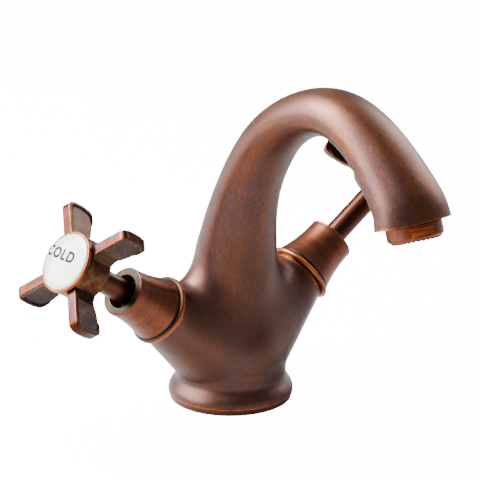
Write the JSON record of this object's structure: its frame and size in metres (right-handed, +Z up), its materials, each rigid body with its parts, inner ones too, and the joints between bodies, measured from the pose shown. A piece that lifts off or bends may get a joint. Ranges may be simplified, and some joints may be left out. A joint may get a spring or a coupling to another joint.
{
  "type": "bathroom mixer faucet",
  "caption": "Single-hole basin mixer with swan-neck spout of oval section and cross handles on upward-tilted rising-spindle valves, antique brushed copper with white index discs.",
  "frame": {"origin": "centre of the base flange underside, on the counter", "axes": "+Z up; the spout points to -Y; the cold valve is at -X and the hot valve at +X"},
  "size_m": [0.2, 0.1513, 0.148],
  "materials": {
    "antique_copper": "antique oil-rubbed copper over brass, brushed, worn orange at the edges",
    "brushed_copper": "copper, brushed round, dark in the grooves",
    "bright_copper": "polished copper",
    "stem_copper": "copper, satin",
    "handle_patina": "olive-brown patina with bright copper edges",
    "brass": "plain machined brass",
    "steel": "stainless steel",
    "porcelain": "white glazed porcelain",
    "white_plastic": "moulded white plastic",
    "rubber": "black rubber",
    "fibre": "red vulcanised fibre"
  },
  "bodies": {
    "root": {"body_casting": "antique_copper", "base_seal": "rubber", "aerator_housing": "antique_copper", "aerator_insert": "white_plastic", "aerator_screen": "steel", "aerator_washer": "rubber", "cold_seat": "brass", "cold_headwork": "brass", "cold_headwork_gasket": "fibre", "cold_gland_packing": "rubber", "cold_gland_nut": "brass", "cold_seat_ring": "brass", "cold_shroud": "brushed_copper", "hot_seat": "brass", "hot_headwork": "brass", "hot_headwork_gasket": "fibre", "hot_gland_packing": "rubber", "hot_gland_nut": "brass", "hot_seat_ring": "brass", "hot_shroud": "brushed_copper"},
    "cold_lift": {"cold_jumper_washer": "rubber", "cold_jumper_plate": "brass", "cold_washer_nut": "brass"},
    "cold_turning": {"cold_spindle": "stem_copper", "cold_handle": "handle_patina", "cold_handle_screw": "steel", "cold_index_ring": "bright_copper", "cold_index_disc": "porcelain"},
    "hot_lift": {"hot_jumper_washer": "rubber", "hot_jumper_plate": "brass", "hot_washer_nut": "brass"},
    "hot_turning": {"hot_spindle": "stem_copper", "hot_handle": "handle_patina", "hot_handle_screw": "steel", "hot_index_ring": "bright_copper", "hot_index_disc": "porcelain"}
  },
  "joints": [
    {"name": "cold_rise", "type": "slide", "parent": "root", "child": "cold_lift", "axis": [-0.831, 0, 0.5563], "range_m": [0, 0.0108]},
    {"name": "cold_turn", "type": "hinge", "parent": "cold_lift", "child": "cold_turning", "pos_m": [0, 0, 0.0211], "axis": [-0.831, 0, 0.5563], "range_deg": [0, 1080]},
    {"name": "hot_rise", "type": "slide", "parent": "root", "child": "hot_lift", "axis": [0.831, 0, 0.5563], "range_m": [-0.0108, 0]},
    {"name": "hot_turn", "type": "hinge", "parent": "hot_lift", "child": "hot_turning", "pos_m": [0, 0, 0.0211], "axis": [0.831, 0, 0.5563], "range_deg": [-1080, 0]}
  ],
  "couplings": [
    {"joint": "cold_turn", "follows": "cold_rise", "rad_per_m": 1745.3},
    {"joint": "hot_turn", "follows": "hot_rise", "rad_per_m": 1745.3}
  ]
}
